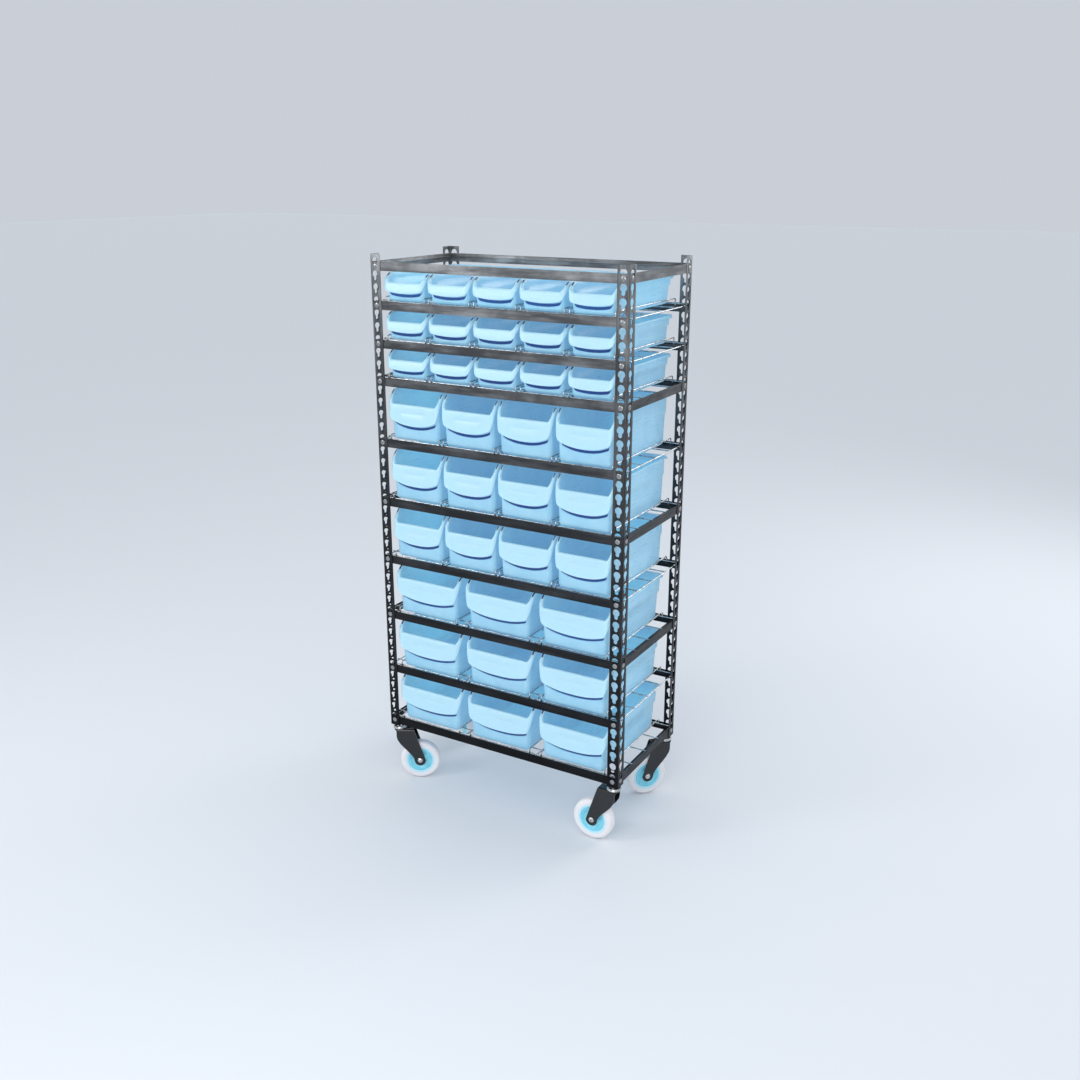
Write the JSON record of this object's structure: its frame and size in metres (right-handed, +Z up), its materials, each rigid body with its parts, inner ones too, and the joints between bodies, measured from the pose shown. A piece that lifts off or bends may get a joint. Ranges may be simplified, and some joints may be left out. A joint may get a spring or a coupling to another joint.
{
  "type": "mobile parts-bin rack",
  "caption": "Wheeled steel rack with slotted angle posts, riveted beams and wire decks, holding pull-out open-front plastic bins in three sizes on swivel castors.",
  "frame": {"origin": "centre of the bounding box on the floor plane", "axes": "+X runs to the right, the open front with the bin lips faces -Y, +Z points up"},
  "size_m": [0.855, 0.4194, 1.7413],
  "materials": {
    "rack_steel": "scuffed dark grey steel",
    "rivet_steel": "bright worn rivet heads",
    "deck_wire": "bright plated wire",
    "castor_steel": "plated castor head, stem and nuts",
    "fork_paint": "gloss black paint on pressed steel",
    "hub_plastic": "pale cyan moulded plastic",
    "tyre_rubber": "off-white non-marking rubber",
    "bin_plastic": "light blue slightly translucent glossy plastic"
  },
  "bodies": {
    "rack": {"post_front_left": "rack_steel", "post_front_right": "rack_steel", "post_back_left": "rack_steel", "post_back_right": "rack_steel", "front_beams": "rack_steel", "back_beams": "rack_steel", "side_beams": "rack_steel", "beam_rivets": "rivet_steel", "deck_wires": "deck_wire", "guide_hoops": "deck_wire", "foot_plates": "rack_steel", "castor_stems": "castor_steel"},
    "castor_front_left": {"castor_fork_front_left": "fork_paint"},
    "wheel_front_left": {"wheel_hub_front_left": "hub_plastic", "tyre_front_left": "tyre_rubber"},
    "castor_front_right": {"castor_fork_front_right": "fork_paint"},
    "wheel_front_right": {"wheel_hub_front_right": "hub_plastic", "tyre_front_right": "tyre_rubber"},
    "castor_back_left": {"castor_fork_back_left": "fork_paint"},
    "wheel_back_left": {"wheel_hub_back_left": "hub_plastic", "tyre_back_left": "tyre_rubber"},
    "castor_back_right": {"castor_fork_back_right": "fork_paint"},
    "wheel_back_right": {"wheel_hub_back_right": "hub_plastic", "tyre_back_right": "tyre_rubber"},
    "pull_small_bin_1_1": {"small_bin_1_1": "bin_plastic"},
    "pull_small_bin_1_2": {"small_bin_1_2": "bin_plastic"},
    "pull_small_bin_1_3": {"small_bin_1_3": "bin_plastic"},
    "pull_small_bin_1_4": {"small_bin_1_4": "bin_plastic"},
    "pull_small_bin_1_5": {"small_bin_1_5": "bin_plastic"},
    "pull_small_bin_2_1": {"small_bin_2_1": "bin_plastic"},
    "pull_small_bin_2_2": {"small_bin_2_2": "bin_plastic"},
    "pull_small_bin_2_3": {"small_bin_2_3": "bin_plastic"},
    "pull_small_bin_2_4": {"small_bin_2_4": "bin_plastic"},
    "pull_small_bin_2_5": {"small_bin_2_5": "bin_plastic"},
    "pull_small_bin_3_1": {"small_bin_3_1": "bin_plastic"},
    "pull_small_bin_3_2": {"small_bin_3_2": "bin_plastic"},
    "pull_small_bin_3_3": {"small_bin_3_3": "bin_plastic"},
    "pull_small_bin_3_4": {"small_bin_3_4": "bin_plastic"},
    "pull_small_bin_3_5": {"small_bin_3_5": "bin_plastic"},
    "pull_medium_bin_1_1": {"medium_bin_1_1": "bin_plastic"},
    "pull_medium_bin_1_2": {"medium_bin_1_2": "bin_plastic"},
    "pull_medium_bin_1_3": {"medium_bin_1_3": "bin_plastic"},
    "pull_medium_bin_1_4": {"medium_bin_1_4": "bin_plastic"},
    "pull_medium_bin_2_1": {"medium_bin_2_1": "bin_plastic"},
    "pull_medium_bin_2_2": {"medium_bin_2_2": "bin_plastic"},
    "pull_medium_bin_2_3": {"medium_bin_2_3": "bin_plastic"},
    "pull_medium_bin_2_4": {"medium_bin_2_4": "bin_plastic"},
    "pull_medium_bin_3_1": {"medium_bin_3_1": "bin_plastic"},
    "pull_medium_bin_3_2": {"medium_bin_3_2": "bin_plastic"},
    "pull_medium_bin_3_3": {"medium_bin_3_3": "bin_plastic"},
    "pull_medium_bin_3_4": {"medium_bin_3_4": "bin_plastic"},
    "pull_large_bin_1_1": {"large_bin_1_1": "bin_plastic"},
    "pull_large_bin_1_2": {"large_bin_1_2": "bin_plastic"},
    "pull_large_bin_1_3": {"large_bin_1_3": "bin_plastic"},
    "pull_large_bin_2_1": {"large_bin_2_1": "bin_plastic"},
    "pull_large_bin_2_2": {"large_bin_2_2": "bin_plastic"},
    "pull_large_bin_2_3": {"large_bin_2_3": "bin_plastic"},
    "pull_large_bin_3_1": {"large_bin_3_1": "bin_plastic"},
    "pull_large_bin_3_2": {"large_bin_3_2": "bin_plastic"},
    "pull_large_bin_3_3": {"large_bin_3_3": "bin_plastic"}
  },
  "joints": [
    {"name": "swivel_front_left", "type": "hinge", "parent": "rack", "child": "castor_front_left", "pos_m": [-0.404, -0.18575, 0.192], "axis": [0, 0, 1], "continuous": true},
    {"name": "roll_front_left", "type": "hinge", "parent": "castor_front_left", "child": "wheel_front_left", "pos_m": [-0.34684, -0.15275, 0.067], "axis": [-0.5, 0.866, 0], "continuous": true},
    {"name": "swivel_front_right", "type": "hinge", "parent": "rack", "child": "castor_front_right", "pos_m": [0.404, -0.18575, 0.192], "axis": [0, 0, 1], "continuous": true},
    {"name": "roll_front_right", "type": "hinge", "parent": "castor_front_right", "child": "wheel_front_right", "pos_m": [0.338, -0.18575, 0.067], "axis": [0, -1, 0], "continuous": true},
    {"name": "swivel_back_left", "type": "hinge", "parent": "rack", "child": "castor_back_left", "pos_m": [-0.404, 0.18625, 0.192], "axis": [0, 0, 1], "continuous": true},
    {"name": "roll_back_left", "type": "hinge", "parent": "castor_back_left", "child": "wheel_back_left", "pos_m": [-0.35344, 0.14383, 0.067], "axis": [0.6428, 0.766, 0], "continuous": true},
    {"name": "swivel_back_right", "type": "hinge", "parent": "rack", "child": "castor_back_right", "pos_m": [0.404, 0.18625, 0.192], "axis": [0, 0, 1], "continuous": true},
    {"name": "roll_back_right", "type": "hinge", "parent": "castor_back_right", "child": "wheel_back_right", "pos_m": [0.36158, 0.13569, 0.067], "axis": [0.766, -0.6428, 0], "continuous": true},
    {"name": "slide_small_bin_1_1", "type": "slide", "parent": "rack", "child": "pull_small_bin_1_1", "axis": [0, -1, 0], "range_m": [0, 0.39]},
    {"name": "slide_small_bin_1_2", "type": "slide", "parent": "rack", "child": "pull_small_bin_1_2", "axis": [0, -1, 0], "range_m": [0, 0.39]},
    {"name": "slide_small_bin_1_3", "type": "slide", "parent": "rack", "child": "pull_small_bin_1_3", "axis": [0, -1, 0], "range_m": [0, 0.39]},
    {"name": "slide_small_bin_1_4", "type": "slide", "parent": "rack", "child": "pull_small_bin_1_4", "axis": [0, -1, 0], "range_m": [0, 0.39]},
    {"name": "slide_small_bin_1_5", "type": "slide", "parent": "rack", "child": "pull_small_bin_1_5", "axis": [0, -1, 0], "range_m": [0, 0.39]},
    {"name": "slide_small_bin_2_1", "type": "slide", "parent": "rack", "child": "pull_small_bin_2_1", "axis": [0, -1, 0], "range_m": [0, 0.39]},
    {"name": "slide_small_bin_2_2", "type": "slide", "parent": "rack", "child": "pull_small_bin_2_2", "axis": [0, -1, 0], "range_m": [0, 0.39]},
    {"name": "slide_small_bin_2_3", "type": "slide", "parent": "rack", "child": "pull_small_bin_2_3", "axis": [0, -1, 0], "range_m": [0, 0.39]},
    {"name": "slide_small_bin_2_4", "type": "slide", "parent": "rack", "child": "pull_small_bin_2_4", "axis": [0, -1, 0], "range_m": [0, 0.39]},
    {"name": "slide_small_bin_2_5", "type": "slide", "parent": "rack", "child": "pull_small_bin_2_5", "axis": [0, -1, 0], "range_m": [0, 0.39]},
    {"name": "slide_small_bin_3_1", "type": "slide", "parent": "rack", "child": "pull_small_bin_3_1", "axis": [0, -1, 0], "range_m": [0, 0.39]},
    {"name": "slide_small_bin_3_2", "type": "slide", "parent": "rack", "child": "pull_small_bin_3_2", "axis": [0, -1, 0], "range_m": [0, 0.39]},
    {"name": "slide_small_bin_3_3", "type": "slide", "parent": "rack", "child": "pull_small_bin_3_3", "axis": [0, -1, 0], "range_m": [0, 0.39]},
    {"name": "slide_small_bin_3_4", "type": "slide", "parent": "rack", "child": "pull_small_bin_3_4", "axis": [0, -1, 0], "range_m": [0, 0.39]},
    {"name": "slide_small_bin_3_5", "type": "slide", "parent": "rack", "child": "pull_small_bin_3_5", "axis": [0, -1, 0], "range_m": [0, 0.39]},
    {"name": "slide_medium_bin_1_1", "type": "slide", "parent": "rack", "child": "pull_medium_bin_1_1", "axis": [0, -1, 0], "range_m": [0, 0.39]},
    {"name": "slide_medium_bin_1_2", "type": "slide", "parent": "rack", "child": "pull_medium_bin_1_2", "axis": [0, -1, 0], "range_m": [0, 0.39]},
    {"name": "slide_medium_bin_1_3", "type": "slide", "parent": "rack", "child": "pull_medium_bin_1_3", "axis": [0, -1, 0], "range_m": [0, 0.39]},
    {"name": "slide_medium_bin_1_4", "type": "slide", "parent": "rack", "child": "pull_medium_bin_1_4", "axis": [0, -1, 0], "range_m": [0, 0.39]},
    {"name": "slide_medium_bin_2_1", "type": "slide", "parent": "rack", "child": "pull_medium_bin_2_1", "axis": [0, -1, 0], "range_m": [0, 0.39]},
    {"name": "slide_medium_bin_2_2", "type": "slide", "parent": "rack", "child": "pull_medium_bin_2_2", "axis": [0, -1, 0], "range_m": [0, 0.39]},
    {"name": "slide_medium_bin_2_3", "type": "slide", "parent": "rack", "child": "pull_medium_bin_2_3", "axis": [0, -1, 0], "range_m": [0, 0.39]},
    {"name": "slide_medium_bin_2_4", "type": "slide", "parent": "rack", "child": "pull_medium_bin_2_4", "axis": [0, -1, 0], "range_m": [0, 0.39]},
    {"name": "slide_medium_bin_3_1", "type": "slide", "parent": "rack", "child": "pull_medium_bin_3_1", "axis": [0, -1, 0], "range_m": [0, 0.39]},
    {"name": "slide_medium_bin_3_2", "type": "slide", "parent": "rack", "child": "pull_medium_bin_3_2", "axis": [0, -1, 0], "range_m": [0, 0.39]},
    {"name": "slide_medium_bin_3_3", "type": "slide", "parent": "rack", "child": "pull_medium_bin_3_3", "axis": [0, -1, 0], "range_m": [0, 0.39]},
    {"name": "slide_medium_bin_3_4", "type": "slide", "parent": "rack", "child": "pull_medium_bin_3_4", "axis": [0, -1, 0], "range_m": [0, 0.39]},
    {"name": "slide_large_bin_1_1", "type": "slide", "parent": "rack", "child": "pull_large_bin_1_1", "axis": [0, -1, 0], "range_m": [0, 0.39]},
    {"name": "slide_large_bin_1_2", "type": "slide", "parent": "rack", "child": "pull_large_bin_1_2", "axis": [0, -1, 0], "range_m": [0, 0.39]},
    {"name": "slide_large_bin_1_3", "type": "slide", "parent": "rack", "child": "pull_large_bin_1_3", "axis": [0, -1, 0], "range_m": [0, 0.39]},
    {"name": "slide_large_bin_2_1", "type": "slide", "parent": "rack", "child": "pull_large_bin_2_1", "axis": [0, -1, 0], "range_m": [0, 0.39]},
    {"name": "slide_large_bin_2_2", "type": "slide", "parent": "rack", "child": "pull_large_bin_2_2", "axis": [0, -1, 0], "range_m": [0, 0.39]},
    {"name": "slide_large_bin_2_3", "type": "slide", "parent": "rack", "child": "pull_large_bin_2_3", "axis": [0, -1, 0], "range_m": [0, 0.39]},
    {"name": "slide_large_bin_3_1", "type": "slide", "parent": "rack", "child": "pull_large_bin_3_1", "axis": [0, -1, 0], "range_m": [0, 0.39]},
    {"name": "slide_large_bin_3_2", "type": "slide", "parent": "rack", "child": "pull_large_bin_3_2", "axis": [0, -1, 0], "range_m": [0, 0.39]},
    {"name": "slide_large_bin_3_3", "type": "slide", "parent": "rack", "child": "pull_large_bin_3_3", "axis": [0, -1, 0], "range_m": [0, 0.39]}
  ]
}
